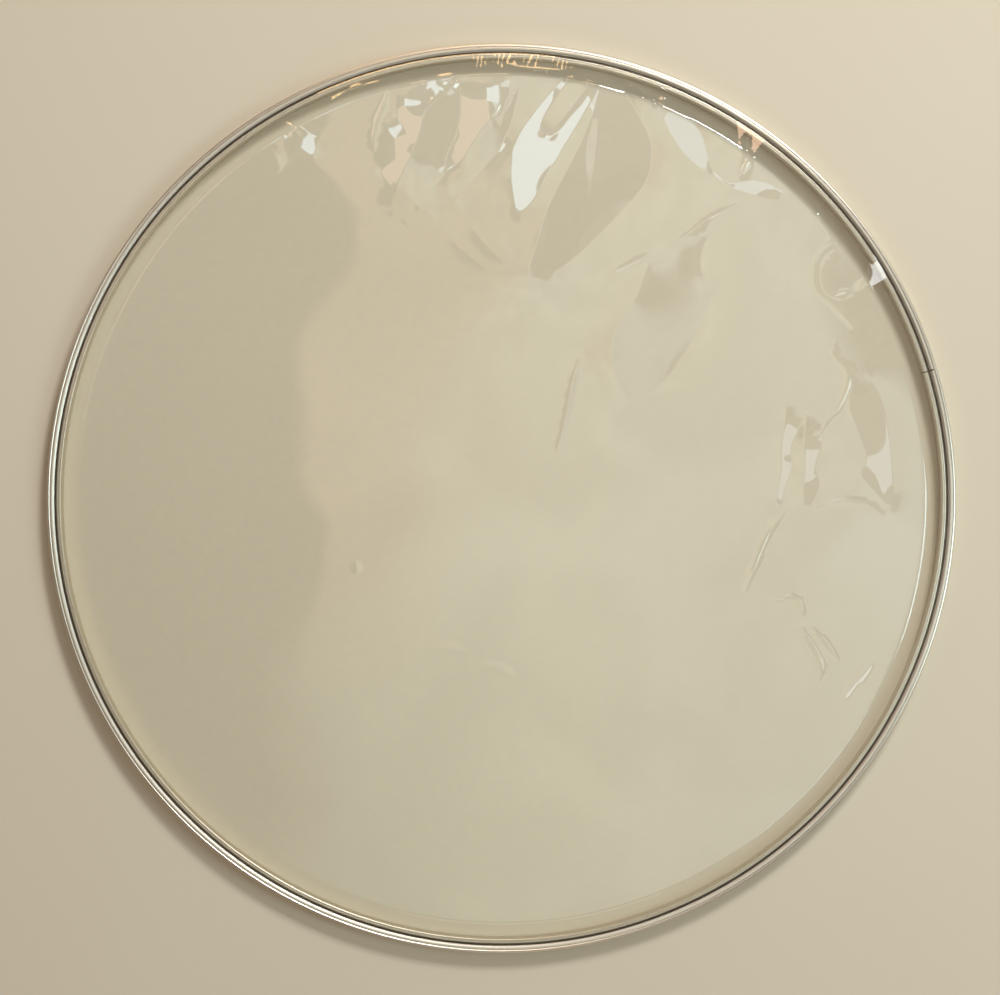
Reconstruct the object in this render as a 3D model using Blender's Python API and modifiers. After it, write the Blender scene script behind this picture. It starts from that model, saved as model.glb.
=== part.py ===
"""Clear bass drum head: a thin film, bonded by resin into a roll-formed aluminium flesh hoop.

Metres, +Z up. The drum's axis is +Z and points to the playing side. The origin is the centre of the
hoop's flat underside. Sections are drawn as (radius, height) and turned around the axis.
"""

from math import atan2, cos, hypot, pi, radians, sin, tan
from typing import NamedTuple

import bmesh
import bpy
from mathutils import Vector
from mathutils.geometry import delaunay_2d_cdt

# The drum shell that the head is made for: 22 inches across
SHELL_DIAMETER = 0.5588
SHELL_CLEARANCE = 0.0016

# The hoop's channel section
HOOP_WIDTH = 0.0092
HOOP_HEIGHT = 0.0105
HOOP_WALL = 0.0012
INNER_LIP_WIDTH = 0.0029
MOUTH_WIDTH = 0.0014
EDGE_BAND_WIDTH = 0.0014
EDGE_BAND_DROP = 0.0004
CORNER_RADIUS = 0.0009
LIP_RADIUS = 0.0003

# The butt joint, on the right as the playing side is seen, and the key inside it
JOINT_ANGLE = radians(16.6)
JOINT_GAP = 0.0004
KEY_LENGTH = 0.040
KEY_THICKNESS = 0.0015

# The film, with its hem in the channel and its collar above it
FILM_THICKNESS = 0.00025
COLLAR_HEIGHT = 0.011
COLLAR_WIDTH = 0.0153
COLLAR_FOOT_RISE = 0.0005
COLLAR_FOOT_RADIUS = 0.0012
COLLAR_BEND_RADIUS = 0.0035
HEM_RADIUS = 0.0010

# The resin in the channel: below its ceiling, below the hem and beyond the hem's edge
RESIN_HEADROOM = 0.0017
RESIN_UNDER_HEM = 0.0016
RESIN_BEYOND_HEM = 0.0014

# Space between pieces that touch
FIT_GAP = 0.0003

# Points this close are one point
MERGE_DISTANCE = 0.00001

# How finely the round shapes are divided
RING_STEPS = 96
MIDDLE_RING_STEPS = 24
MIDDLE_RING_RADIUS = 0.090
CORNER_STEPS = 2
BEND_STEPS = 4

# Sizes that follow from the ones above
HOOP_INNER_RADIUS = SHELL_DIAMETER / 2 + SHELL_CLEARANCE
HOOP_OUTER_RADIUS = HOOP_INNER_RADIUS + HOOP_WIDTH
MOUTH_INNER_RADIUS = HOOP_INNER_RADIUS + INNER_LIP_WIDTH
MOUTH_OUTER_RADIUS = MOUTH_INNER_RADIUS + MOUTH_WIDTH
CAVITY_INNER_RADIUS = HOOP_INNER_RADIUS + HOOP_WALL
CAVITY_OUTER_RADIUS = HOOP_OUTER_RADIUS - HOOP_WALL
CAVITY_CEILING = HOOP_HEIGHT - HOOP_WALL
KEY_TOP = HOOP_WALL + FIT_GAP + KEY_THICKNESS
FILM_RADIUS = (MOUTH_INNER_RADIUS + MOUTH_OUTER_RADIUS) / 2
HEM_MID_HEIGHT = KEY_TOP + RESIN_UNDER_HEM
HEM_EDGE_RADIUS = CAVITY_OUTER_RADIUS - FIT_GAP - RESIN_BEYOND_HEM
FILM_MID_HEIGHT = HOOP_HEIGHT + COLLAR_HEIGHT - FILM_THICKNESS / 2
SLOT_HALF_WIDTH = FILM_THICKNESS / 2 + FIT_GAP


class Crease(NamedTuple):
    """A long fold in the slack film, shaped like a leaf with a raised spine.

    It starts at the collar's bend, at an angle around the drum, and runs inwards, turned by lean
    from the straight way to the drum's axis.
    """

    angle: float
    lean: float
    length: float
    width: float
    rise: float


# How far along each crease its spine is highest
CREST_SHARE = 0.45

CREASES = (
    Crease(angle=77.0, lean=-19.0, length=0.097, width=0.020, rise=0.0028),
    Crease(angle=71.5, lean=-10.5, length=0.130, width=0.030, rise=0.0022),
    Crease(angle=90.0, lean=-34.5, length=0.106, width=0.022, rise=0.0022),
    Crease(angle=98.5, lean=-32.0, length=0.077, width=0.018, rise=0.0018),
    Crease(angle=120.0, lean=15.0, length=0.026, width=0.010, rise=0.0012),
    Crease(angle=68.0, lean=66.0, length=0.070, width=0.010, rise=0.0014),
    Crease(angle=44.5, lean=3.0, length=0.215, width=0.016, rise=0.0012),
    Crease(angle=32.5, lean=-8.0, length=0.030, width=0.012, rise=0.0016),
)


def clear_scene():
    for item in list(bpy.data.objects):
        bpy.data.objects.remove(item, do_unlink=True)


def add_collection(name):
    collection = bpy.data.collections.new(name)
    bpy.context.scene.collection.children.link(collection)
    return collection


def add_object(name, mesh, collection):
    item = bpy.data.objects.new(name, mesh)
    collection.objects.link(item)
    return item


def make_material(name, color, roughness, metallic):
    material = bpy.data.materials.new(name)
    material.use_nodes = True
    shader = material.node_tree.nodes["Principled BSDF"]
    shader.inputs["Base Color"].default_value = (*color, 1.0)
    shader.inputs["Roughness"].default_value = roughness
    shader.inputs["Metallic"].default_value = metallic
    return material


def rounded(corners):
    """Points of an outline whose corners are (radius, height, rounding, steps); no steps, no arc."""
    points = []
    last = len(corners) - 1
    for i, (r, z, rounding, steps) in enumerate(corners):
        here = Vector((r, z))
        if not steps:
            points.append(here)
            continue
        before = Vector(corners[i - 1][:2]) - here
        after = Vector(corners[i + 1 if i < last else 0][:2]) - here
        half = before.angle(after) / 2
        reach = rounding / tan(half)
        start = here + before.normalized() * reach
        end = here + after.normalized() * reach
        center = here + (before.normalized() + after.normalized()).normalized() * rounding / sin(half)
        first = atan2(start.y - center.y, start.x - center.x)
        turn = (atan2(end.y - center.y, end.x - center.x) - first + pi) % (2 * pi) - pi
        for step in range(steps + 1):
            angle = first + turn * step / steps
            points.append(center + rounding * Vector((cos(angle), sin(angle))))
    return points


def turned(name, points, closed, collection):
    """Turns an outline in the plane of X and Z around the axis, a full turn from the joint."""
    mesh = bpy.data.meshes.new(name)
    edges = [(i, i + 1) for i in range(len(points) - 1)]
    if closed:
        edges.append((len(points) - 1, 0))
    mesh.from_pydata([(p.x, 0.0, p.y) for p in points], edges, [])
    item = add_object(name, mesh, collection)
    item.rotation_euler.z = JOINT_ANGLE
    screw = item.modifiers.new("turn", "SCREW")
    screw.steps = RING_STEPS
    screw.render_steps = RING_STEPS
    screw.use_merge_vertices = True
    screw.merge_threshold = MERGE_DISTANCE
    return item


def box_at_joint(name, length, collection):
    """A block across the hoop's section at the joint, with a length along the hoop."""
    bm = bmesh.new()
    bmesh.ops.create_cube(bm, size=1.0)
    size = Vector((3 * HOOP_WIDTH, length, 3 * HOOP_HEIGHT))
    bmesh.ops.scale(bm, vec=size, verts=bm.verts)
    middle = Vector(((HOOP_INNER_RADIUS + HOOP_OUTER_RADIUS) / 2, 0.0, HOOP_HEIGHT / 2))
    bmesh.ops.translate(bm, vec=middle, verts=bm.verts)
    mesh = bpy.data.meshes.new(name)
    bm.to_mesh(mesh)
    bm.free()
    item = add_object(name, mesh, collection)
    item.rotation_euler.z = JOINT_ANGLE
    return item


def boolean(item, cutter, operation):
    modifier = item.modifiers.new(cutter.name, "BOOLEAN")
    modifier.operation = operation
    modifier.solver = "EXACT"
    modifier.object = cutter


def mark_cutter(item):
    item.hide_render = True
    item.display_type = "WIRE"


def finish(item, material):
    item.data.materials.append(material)
    item.data.shade_smooth()


def evaluated_mesh(item):
    bpy.context.view_layer.update()
    graph = bpy.context.evaluated_depsgraph_get()
    mesh = bpy.data.meshes.new_from_object(item.evaluated_get(graph))
    mesh.transform(item.matrix_world)
    return mesh


def build_hoop_channel(parts, cutters, material):
    """The channel, drawn clockwise from its mouth: outside first, then back through its cavity."""
    band_radius = HOOP_OUTER_RADIUS - EDGE_BAND_WIDTH
    band_height = HOOP_HEIGHT - EDGE_BAND_DROP
    outline = rounded([
        (MOUTH_OUTER_RADIUS, HOOP_HEIGHT, LIP_RADIUS, 1),
        (band_radius, HOOP_HEIGHT, EDGE_BAND_DROP / 4, 1),
        (band_radius, band_height, 0, 0),
        (HOOP_OUTER_RADIUS, band_height, CORNER_RADIUS, CORNER_STEPS),
        (HOOP_OUTER_RADIUS, 0, CORNER_RADIUS, CORNER_STEPS),
        (HOOP_INNER_RADIUS, 0, CORNER_RADIUS, CORNER_STEPS),
        (HOOP_INNER_RADIUS, HOOP_HEIGHT, CORNER_RADIUS, CORNER_STEPS),
        (MOUTH_INNER_RADIUS, HOOP_HEIGHT, LIP_RADIUS, 1),
        (MOUTH_INNER_RADIUS, CAVITY_CEILING, 0, 0),
        (CAVITY_INNER_RADIUS, CAVITY_CEILING, 0, 0),
        (CAVITY_INNER_RADIUS, HOOP_WALL, 0, 0),
        (CAVITY_OUTER_RADIUS, HOOP_WALL, 0, 0),
        (CAVITY_OUTER_RADIUS, CAVITY_CEILING, 0, 0),
        (MOUTH_OUTER_RADIUS, CAVITY_CEILING, 0, 0),
    ])
    hoop = turned("hoop_channel", outline, True, parts)
    gap = box_at_joint("joint_gap_cutter", JOINT_GAP, cutters)
    mark_cutter(gap)
    boolean(hoop, gap, "DIFFERENCE")
    finish(hoop, material)


def key_section(name, clearance, collection):
    """A ring on the channel's floor, with the key's section grown by a clearance above and beside."""
    inner = CAVITY_INNER_RADIUS + FIT_GAP - clearance
    outer = CAVITY_OUTER_RADIUS - FIT_GAP + clearance
    bottom = HOOP_WALL + FIT_GAP - clearance
    top = KEY_TOP + clearance
    corners = ((outer, top), (outer, bottom), (inner, bottom), (inner, top))
    return turned(name, [Vector(corner) for corner in corners], True, collection)


def build_joint_key(parts, cutters, material):
    key = key_section("joint_key", 0.0, parts)
    ends = box_at_joint("key_length_cutter", KEY_LENGTH, cutters)
    mark_cutter(ends)
    boolean(key, ends, "INTERSECT")
    finish(key, material)


def build_resin_fill(parts, cutters, material):
    """The resin, with a slot that the film's hem lies in and a pocket over the key."""
    inner = CAVITY_INNER_RADIUS + FIT_GAP
    outer = CAVITY_OUTER_RADIUS - FIT_GAP
    bottom = HOOP_WALL + FIT_GAP
    top = CAVITY_CEILING - RESIN_HEADROOM
    slot_inner = FILM_RADIUS - SLOT_HALF_WIDTH
    slot_outer = FILM_RADIUS + SLOT_HALF_WIDTH
    slot_bottom = HEM_MID_HEIGHT - SLOT_HALF_WIDTH
    slot_top = HEM_MID_HEIGHT + SLOT_HALF_WIDTH
    slot_end = HEM_EDGE_RADIUS + FIT_GAP
    outline = rounded([
        (outer, top, 0, 0),
        (outer, bottom, 0, 0),
        (inner, bottom, 0, 0),
        (inner, top, 0, 0),
        (slot_inner, top, 0, 0),
        (slot_inner, slot_bottom, HEM_RADIUS + SLOT_HALF_WIDTH, CORNER_STEPS),
        (slot_end, slot_bottom, 0, 0),
        (slot_end, slot_top, 0, 0),
        (slot_outer, slot_top, HEM_RADIUS - SLOT_HALF_WIDTH, CORNER_STEPS),
        (slot_outer, top, 0, 0),
    ])
    resin = turned("resin_fill", outline, True, parts)
    pocket = key_section("key_pocket_cutter", FIT_GAP, cutters)
    ends = box_at_joint("key_pocket_length_cutter", KEY_LENGTH + 2 * FIT_GAP, cutters)
    mark_cutter(pocket)
    mark_cutter(ends)
    boolean(pocket, ends, "INTERSECT")
    boolean(resin, pocket, "DIFFERENCE")
    finish(resin, material)


def film_side():
    """The middle line of the film's hem and collar, from the hem's edge to the playing surface."""
    bend_radius = FILM_RADIUS - COLLAR_WIDTH
    line = rounded([
        (HEM_EDGE_RADIUS, HEM_MID_HEIGHT, 0, 0),
        (FILM_RADIUS, HEM_MID_HEIGHT, HEM_RADIUS, CORNER_STEPS),
        (FILM_RADIUS, HOOP_HEIGHT + COLLAR_FOOT_RISE, COLLAR_FOOT_RADIUS, CORNER_STEPS),
        (bend_radius, FILM_MID_HEIGHT, COLLAR_BEND_RADIUS, BEND_STEPS),
        (bend_radius / 2, FILM_MID_HEIGHT, 0, 0),
    ])
    return line[:-1]


def circle_points(radius, steps):
    turns = [JOINT_ANGLE + 2 * pi * i / steps for i in range(steps)]
    return [Vector((radius * cos(turn), radius * sin(turn))) for turn in turns]


def crease_points(crease, bend_radius):
    """A crease's five points: its start on the bend, its two shoulders, its crest and its tip."""
    angle = radians(crease.angle)
    start = bend_radius * Vector((cos(angle), sin(angle)))
    way = angle + pi + radians(crease.lean)
    along = Vector((cos(way), sin(way)))
    across = Vector((-along.y, along.x)) * crease.width / 2
    middle = start + along * crease.length * CREST_SHARE
    return start, middle + across, middle - across, middle, start + along * crease.length


def playing_surface(bend_radius):
    """Triangles of the film's middle, with a raised spine along each crease."""
    points = circle_points(bend_radius, RING_STEPS)
    edges = [(i, (i + 1) % RING_STEPS) for i in range(RING_STEPS)]
    rises = [0.0] * RING_STEPS
    middle = [Vector((0.0, 0.0))] + circle_points(MIDDLE_RING_RADIUS, MIDDLE_RING_STEPS)
    points += middle
    rises += [0.0] * len(middle)
    for crease in CREASES:
        start, left, right, crest, tip = crease_points(crease, bend_radius)
        root = min(range(RING_STEPS), key=lambda i: (points[i] - start).length)
        first = len(points)
        points += [left, right, crest, tip]
        rises += [0.0, 0.0, crease.rise, 0.0]
        outline = (root, first, first + 3, first + 1)
        edges += [(outline[i], outline[(i + 1) % 4]) for i in range(4)]
        edges += [(root, first + 2), (first + 2, first + 3)]
    flat, _, faces, sources, _, _ = delaunay_2d_cdt(points, edges, [], 0, MERGE_DISTANCE)
    heights = [max((rises[i] for i in source), default=0.0) for source in sources]
    return [(p.x, p.y, FILM_MID_HEIGHT + rise) for p, rise in zip(flat, heights)], faces


def build_film(parts, cutters, material):
    """The hem and collar are turned, the playing surface closes them, and both get a thickness."""
    side = film_side()
    guide = turned("film_side_guide", side, False, cutters)
    bm = bmesh.new()
    bm.from_mesh(evaluated_mesh(guide))
    bpy.data.objects.remove(guide, do_unlink=True)
    corners, faces = playing_surface(side[-1].x)
    verts = [bm.verts.new(corner) for corner in corners]
    for face in faces:
        bm.faces.new([verts[i] for i in face])
    bmesh.ops.remove_doubles(bm, verts=bm.verts, dist=MERGE_DISTANCE)
    bmesh.ops.recalc_face_normals(bm, faces=bm.faces)
    top = max(bm.faces, key=lambda face: -hypot(*face.calc_center_median().xy))
    if top.normal.z < 0:
        bmesh.ops.reverse_faces(bm, faces=bm.faces)
    mesh = bpy.data.meshes.new("film")
    bm.to_mesh(mesh)
    bm.free()
    film = add_object("film", mesh, parts)
    skin = film.modifiers.new("thickness", "SOLIDIFY")
    skin.thickness = FILM_THICKNESS
    skin.offset = 0.0
    skin.use_even_offset = True
    finish(film, material)


def main():
    clear_scene()
    parts = add_collection("drum_head")
    cutters = add_collection("cutters")
    aluminium = make_material("aluminium", (0.78, 0.77, 0.75), 0.32, 1.0)
    film = make_material("clear_film", (0.86, 0.86, 0.80), 0.10, 0.0)
    resin = make_material("cured_resin", (0.50, 0.40, 0.24), 0.45, 0.0)
    key = make_material("key_aluminium", (0.66, 0.66, 0.65), 0.45, 1.0)
    build_hoop_channel(parts, cutters, aluminium)
    build_joint_key(parts, cutters, key)
    build_resin_fill(parts, cutters, resin)
    build_film(parts, cutters, film)


main()
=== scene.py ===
"""Looks of the clear bass drum head, lying flat with its playing side up, seen from straight above."""

from math import atan2, cos, pi, radians, sin, tan
from typing import NamedTuple

import bpy
import numpy as np
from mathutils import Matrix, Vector
from mathutils.geometry import delaunay_2d_cdt


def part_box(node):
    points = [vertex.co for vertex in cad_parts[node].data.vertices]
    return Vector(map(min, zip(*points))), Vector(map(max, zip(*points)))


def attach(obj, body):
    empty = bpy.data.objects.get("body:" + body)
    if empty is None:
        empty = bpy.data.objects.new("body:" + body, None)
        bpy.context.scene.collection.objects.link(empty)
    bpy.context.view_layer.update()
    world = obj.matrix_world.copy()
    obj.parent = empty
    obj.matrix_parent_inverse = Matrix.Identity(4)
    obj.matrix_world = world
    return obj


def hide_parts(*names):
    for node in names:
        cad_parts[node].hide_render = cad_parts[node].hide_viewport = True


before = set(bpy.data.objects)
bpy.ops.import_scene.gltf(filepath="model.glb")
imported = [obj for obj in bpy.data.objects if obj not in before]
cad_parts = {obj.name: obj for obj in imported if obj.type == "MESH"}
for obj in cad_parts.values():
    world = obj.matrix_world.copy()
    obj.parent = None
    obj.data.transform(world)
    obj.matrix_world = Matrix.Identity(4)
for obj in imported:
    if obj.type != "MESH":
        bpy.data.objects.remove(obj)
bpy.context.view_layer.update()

MILLIMETRE = 1e-3

# The photograph's frame, and the hoop's place in it
PHOTO_WIDTH = 1000
HOOP_MIDDLE_PX = (501.3, 498.5)
FRAME_MIDDLE_PX = (500.0, 497.5)
METRES_PER_PIXEL = 0.638 * MILLIMETRE
CAMERA_ABOVE_HOOP = 1.60

# The hoop's section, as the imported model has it
HOOP_OUTER_RADIUS = 0.2902
HOOP_WIDTH = 0.0092
HOOP_INNER_RADIUS = HOOP_OUTER_RADIUS - HOOP_WIDTH
HOOP_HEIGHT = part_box("hoop_channel")[1][2]
HOOP_WALL = 0.0012
LIP_WIDTH = 0.0029
MOUTH_WIDTH = 0.0014
MOUTH_INNER_RADIUS = HOOP_INNER_RADIUS + LIP_WIDTH
MOUTH_OUTER_RADIUS = MOUTH_INNER_RADIUS + MOUTH_WIDTH
JOINT_ANGLE = radians(16.6)

# The hoop's finer shape: its seam, its outer band, its inner lip and its corners
SEAM_WIDTH = 0.0009
MOUTH_EDGE_DROP = 0.0007
BAND_CREST_INSET = 0.0035
BAND_CREST_DROP = 0.0001
BAND_CREST_ROUNDING = 0.0012
BAND_GROOVE_INSET = 0.0019
BAND_GROOVE_HALF = 0.0005
BAND_GROOVE_DEPTH = 0.0004
BAND_GROOVE_EDGE_ROUNDING = 0.0003
BAND_GROOVE_FLOOR_ROUNDING = 0.0002
OUTER_EDGE_DROP = 0.0003
LIP_GROOVE_INSET = 0.0016
LIP_GROOVE_HALF = 0.0002
LIP_GROOVE_SLANT = 0.0001
LIP_GROOVE_DEPTH = 0.0003
LIP_GROOVE_ROUNDING = 0.0001
CORNER_ROUNDING = 0.0010
FOOT_ROUNDING = 0.0009
MOUTH_ROUNDING = 0.0004
HOOP_STEPS = 1080
SHARP_ANGLE = radians(40)

# The film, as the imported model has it
FILM_THICKNESS = 0.00025
FILM_RADIUS = (MOUTH_INNER_RADIUS + MOUTH_OUTER_RADIUS) / 2
COLLAR_WIDTH = 0.0153
BEND_RADIUS = FILM_RADIUS - COLLAR_WIDTH
FILM_TOP = 0.0215
FILM_MIDDLE = FILM_TOP - FILM_THICKNESS / 2
HEM_EDGE_RADIUS = 0.2873
HEM_MIDDLE = 0.0046

# How much of the film mirrors when it is seen face on, and how much of it is hazed at most
FACE_ON_MIRROR = 0.040
HAZE_SHARE = 0.03


def srgb(red, green, blue):
    """A colour from its 0 to 255 screen values."""
    def linear(value):
        value /= 255
        return value / 12.92 if value <= 0.04045 else ((value + 0.055) / 1.055) ** 2.4
    return (linear(red), linear(green), linear(blue), 1.0)


# The plain tone shown far from the head, and where on the floor it begins and is full
BACKDROP = srgb(206, 195, 171)
FLOOR_NEAR = 0.6
FLOOR_FAR = 1.8
FLOOR_SIZE = 14.0


class Nodes:
    """A short way to build a material's nodes."""

    def __init__(self, tree):
        self.tree = tree
        tree.nodes.clear()

    def add(self, kind, settings=None, **inputs):
        node = self.tree.nodes.new(kind)
        for name, value in (settings or {}).items():
            setattr(node, name, value)
        for name, value in inputs.items():
            self.feed(node.inputs[name.replace("_", " ")], value)
        return node

    def feed(self, socket, value):
        """Gives a socket another node's output, or a plain value."""
        if isinstance(value, bpy.types.NodeSocket):
            self.tree.links.new(value, socket)
        else:
            socket.default_value = value

    def math(self, operation, *values):
        node = self.add("ShaderNodeMath", {"operation": operation})
        for socket, value in zip(node.inputs, values):
            self.feed(socket, value)
        return node.outputs[0]

    def mix_colors(self, share, first, second):
        node = self.add("ShaderNodeMix", {"data_type": "RGBA"})
        for index, value in ((0, share), (6, first), (7, second)):
            self.feed(node.inputs[index], value)
        return node.outputs[2]

    def mix_shaders(self, share, first, second):
        node = self.add("ShaderNodeMixShader", Fac=share)
        self.feed(node.inputs[1], first.outputs[0])
        self.feed(node.inputs[2], second.outputs[0])
        return node


def new_material(name):
    material = bpy.data.materials.new(name)
    material.use_nodes = True
    return material, Nodes(material.node_tree)


def film_material():
    """Clear polyester: almost nothing face on, a mirror at glancing angles, with a faint haze."""
    material, n = new_material("clear_film")
    place = n.add("ShaderNodeTexCoord").outputs["Object"]
    facing = n.add("ShaderNodeLayerWeight", Blend=0.5).outputs["Facing"]
    glancing = n.math("POWER", facing, 5.0)
    mirror = n.math("MULTIPLY_ADD", glancing, 1.0 - FACE_ON_MIRROR, FACE_ON_MIRROR)
    clear = n.add("ShaderNodeBsdfTransparent", Color=(0.992, 0.994, 0.982, 1.0))
    gloss = n.add("ShaderNodeBsdfGlossy", Color=(1.0, 1.0, 1.0, 1.0), Roughness=0.015)
    dust = n.add("ShaderNodeTexNoise", Vector=place, Scale=220.0, Detail=6.0)
    amount = n.math("MULTIPLY", dust.outputs["Fac"], HAZE_SHARE)
    haze = n.add("ShaderNodeBsdfDiffuse", Color=(0.80, 0.80, 0.76, 1.0))
    whole = n.mix_shaders(mirror, n.mix_shaders(amount, clear, haze), gloss)
    n.add("ShaderNodeOutputMaterial", Surface=whole.outputs[0])
    return material


def aluminium_material(name, color, roughness):
    material, n = new_material(name)
    place = n.add("ShaderNodeTexCoord").outputs["Object"]
    spots = n.add("ShaderNodeTexNoise", Vector=place, Scale=900.0, Detail=3.0)
    bump = n.add("ShaderNodeBump", Strength=0.05, Distance=0.0002, Height=spots.outputs["Fac"])
    shader = n.add(
        "ShaderNodeBsdfPrincipled", Base_Color=color, Metallic=1.0, Roughness=roughness,
        Normal=bump.outputs[0],
    )
    n.add("ShaderNodeOutputMaterial", Surface=shader.outputs[0])
    return material


def resin_material():
    material, n = new_material("cured_resin")
    place = n.add("ShaderNodeTexCoord").outputs["Object"]
    clouds = n.add("ShaderNodeTexNoise", Vector=place, Scale=60.0, Detail=4.0)
    ramp = n.add("ShaderNodeValToRGB", Fac=clouds.outputs["Fac"])
    ramp.color_ramp.elements[0].color = (0.12, 0.08, 0.04, 1.0)
    ramp.color_ramp.elements[1].color = (0.24, 0.17, 0.09, 1.0)
    shader = n.add("ShaderNodeBsdfPrincipled", Base_Color=ramp.outputs[0], Roughness=0.4)
    n.add("ShaderNodeOutputMaterial", Surface=shader.outputs[0])
    return material


def floor_material():
    """A matt, pale floor that turns into the plain backdrop far from the head."""
    material, n = new_material("studio_floor")
    place = n.add("ShaderNodeTexCoord").outputs["Object"]
    tone = n.add("ShaderNodeTexNoise", Vector=place, Scale=3.0, Detail=2.0)
    ramp = n.add("ShaderNodeValToRGB", Fac=tone.outputs["Fac"])
    ramp.color_ramp.elements[0].color = srgb(202, 190, 167)
    ramp.color_ramp.elements[1].color = srgb(206, 196, 174)
    shader = n.add("ShaderNodeBsdfPrincipled", Base_Color=ramp.outputs[0], Roughness=0.9)
    reach = n.add("ShaderNodeVectorMath", {"operation": "LENGTH"}, Vector=place).outputs["Value"]
    far = n.add(
        "ShaderNodeMapRange", {"interpolation_type": "SMOOTHSTEP"}, Value=reach,
        From_Min=FLOOR_NEAR, From_Max=FLOOR_FAR,
    )
    ray = n.add("ShaderNodeLightPath").outputs
    seen = n.math("MAXIMUM", ray["Is Camera Ray"], ray["Is Glossy Ray"])
    seen = n.math("MAXIMUM", seen, ray["Is Transmission Ray"])
    backdrop = n.add("ShaderNodeEmission", Color=BACKDROP, Strength=1.0)
    whole = n.mix_shaders(n.math("MULTIPLY", far.outputs[0], seen), shader, backdrop)
    n.add("ShaderNodeOutputMaterial", Surface=whole.outputs[0])
    material.cycles.emission_sampling = "NONE"
    return material


def add_mesh(name, places, faces, material):
    mesh = bpy.data.meshes.new(name)
    mesh.from_pydata(places, [], faces)
    mesh.validate()
    mesh.materials.append(material)
    mesh.shade_smooth()
    item = bpy.data.objects.new(name, mesh)
    bpy.context.scene.collection.objects.link(item)
    return item


def rounded(corners):
    """Points of a closed outline whose corners are (radius, height, rounding, steps)."""
    points = []
    for i, (r, z, rounding, steps) in enumerate(corners):
        here = Vector((r, z))
        if not steps:
            points.append(here)
            continue
        before = (Vector(corners[i - 1][:2]) - here).normalized()
        after = (Vector(corners[(i + 1) % len(corners)][:2]) - here).normalized()
        half = before.angle(after) / 2
        start = here + before * rounding / tan(half)
        end = here + after * rounding / tan(half)
        center = here + (before + after).normalized() * rounding / sin(half)
        first = atan2(start.y - center.y, start.x - center.x)
        turn = (atan2(end.y - center.y, end.x - center.x) - first + pi) % (2 * pi) - pi
        for step in range(steps + 1):
            angle = first + turn * step / steps
            points.append(center + rounding * Vector((cos(angle), sin(angle))))
    return points


def hoop_section():
    """The channel's outline, clockwise from the mouth, with its rolled edges and drawn grooves."""
    edge = HOOP_OUTER_RADIUS
    top = HOOP_HEIGHT
    ceiling = top - HOOP_WALL
    inner_wall = HOOP_INNER_RADIUS + HOOP_WALL
    outer_wall = edge - HOOP_WALL
    band_groove = edge - BAND_GROOVE_INSET
    lip_groove = HOOP_INNER_RADIUS + LIP_GROOVE_INSET
    lip_floor_half = LIP_GROOVE_HALF - LIP_GROOVE_SLANT
    return rounded([
        (MOUTH_OUTER_RADIUS, top - MOUTH_EDGE_DROP, MOUTH_ROUNDING, 5),
        (edge - BAND_CREST_INSET, top - BAND_CREST_DROP, BAND_CREST_ROUNDING, 5),
        (band_groove - BAND_GROOVE_HALF, top, BAND_GROOVE_EDGE_ROUNDING, 3),
        (band_groove, top - BAND_GROOVE_DEPTH, BAND_GROOVE_FLOOR_ROUNDING, 3),
        (band_groove + BAND_GROOVE_HALF, top, BAND_GROOVE_EDGE_ROUNDING, 3),
        (edge, top - OUTER_EDGE_DROP, CORNER_ROUNDING, 9),
        (edge, 0.0, FOOT_ROUNDING, 6),
        (HOOP_INNER_RADIUS, 0.0, FOOT_ROUNDING, 6),
        (HOOP_INNER_RADIUS, top, CORNER_ROUNDING, 8),
        (lip_groove - LIP_GROOVE_HALF, top, LIP_GROOVE_ROUNDING, 2),
        (lip_groove - lip_floor_half, top - LIP_GROOVE_DEPTH, LIP_GROOVE_ROUNDING, 2),
        (lip_groove + lip_floor_half, top - LIP_GROOVE_DEPTH, LIP_GROOVE_ROUNDING, 2),
        (lip_groove + LIP_GROOVE_HALF, top, LIP_GROOVE_ROUNDING, 2),
        (MOUTH_INNER_RADIUS, top, MOUTH_ROUNDING, 4),
        (MOUTH_INNER_RADIUS, ceiling, 0, 0),
        (inner_wall, ceiling, 0, 0),
        (inner_wall, HOOP_WALL, 0, 0),
        (outer_wall, HOOP_WALL, 0, 0),
        (outer_wall, ceiling, 0, 0),
        (MOUTH_OUTER_RADIUS, ceiling, 0, 0),
    ])


def build_hoop(material):
    """The channel swept around from one side of its butt joint to the other, with capped ends."""
    section = hoop_section()
    count = len(section)
    half_gap = SEAM_WIDTH / 2 / HOOP_OUTER_RADIUS
    places = []
    for step in range(HOOP_STEPS + 1):
        angle = JOINT_ANGLE + half_gap + (2 * pi - 2 * half_gap) * step / HOOP_STEPS
        places += [(p.x * cos(angle), p.x * sin(angle), p.y) for p in section]
    faces = []
    for step in range(HOOP_STEPS):
        a, b = step * count, (step + 1) * count
        for i in range(count):
            j = (i + 1) % count
            faces.append((a + j, a + i, b + i, b + j))
    faces.append(tuple(range(count)))
    faces.append(tuple(reversed(range(HOOP_STEPS * count, (HOOP_STEPS + 1) * count))))
    hoop = add_mesh("flesh_hoop", places, faces, material)
    hoop.data.set_sharp_from_angle(angle=SHARP_ANGLE)
    return hoop


# Creases of the film, where the photograph shows them


class Crease(NamedTuple):
    """A line along which the film is bent, a ridge where it is high and a valley where it is low.

    A point holds its pixel in the photograph and its height above the flat film in millimetres.
    """

    line: tuple


class Pinch(NamedTuple):
    """A narrow ridge with a foot on both sides. A point is a pixel, and lengths are in millimetres."""

    line: tuple
    height: float
    half_width: float
    peak: float = 0.5


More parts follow.
